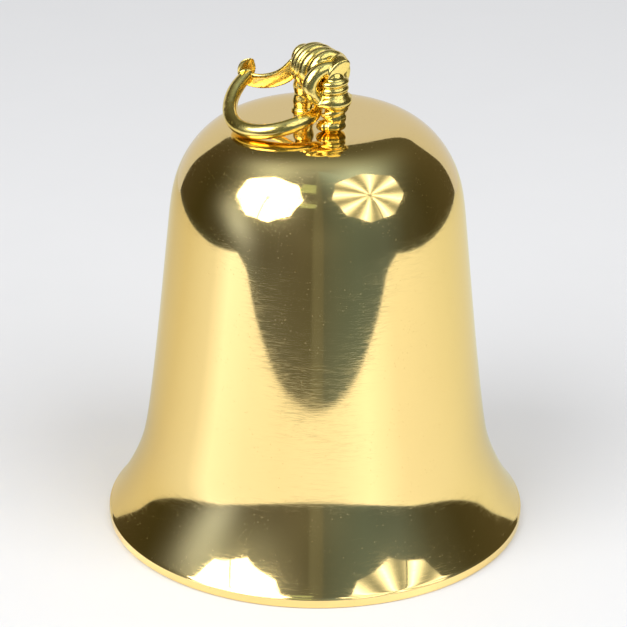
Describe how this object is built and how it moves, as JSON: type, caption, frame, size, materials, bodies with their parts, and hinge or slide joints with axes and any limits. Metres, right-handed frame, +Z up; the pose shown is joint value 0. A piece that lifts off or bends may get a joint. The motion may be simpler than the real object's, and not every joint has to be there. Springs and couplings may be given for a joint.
{
  "type": "temple bell",
  "caption": "Polished brass temple bell with a flared mouth, a cast crown staple, a swinging hanging loop and an inner clapper on a clevis.",
  "frame": {"origin": "on the bell's axis, at the plane of the mouth's rim", "axes": "+Z up along the bell's axis, from the mouth to the crown; the hanging loop lies to -X; -Y is the front"},
  "size_m": [0.1506, 0.1506, 0.1789],
  "materials": {
    "polished_brass": "mirror polished, fine turning hairlines",
    "cast_brass": "buffed casting",
    "pad": "plain hide",
    "steel_fittings": "satin",
    "brass_nuts": "machined",
    "bush": "plain",
    "brass_rod": "turned"
  },
  "bodies": {
    "bell": {"bell_shell": "polished_brass", "crown_staple": "cast_brass", "bridge_pad": "pad", "clapper_bridge": "steel_fittings", "staple_washers": "steel_fittings", "staple_spring_washers": "steel_fittings", "staple_nuts": "brass_nuts", "clapper_pin": "steel_fittings", "clapper_split_pin": "steel_fittings", "clevis_side_washers": "pad"},
    "loop": {"hanging_loop": "cast_brass"},
    "clapper": {"clapper_rod": "brass_rod", "clapper_eye_bush": "bush", "clapper_ball": "brass_rod", "ball_jam_nut": "brass_nuts", "ball_cap_nut": "brass_nuts"}
  },
  "joints": [
    {"name": "loop_swing", "type": "hinge", "parent": "bell", "child": "loop", "pos_m": [0, 0, 0.171], "axis": [-0.4695, 0.8829, 0], "range_deg": [0, 220]},
    {"name": "clapper_swing", "type": "hinge", "parent": "bell", "child": "clapper", "pos_m": [0, 0, 0.134], "axis": [0.4695, -0.8829, 0], "range_deg": [-24.5, 24.5]}
  ]
}
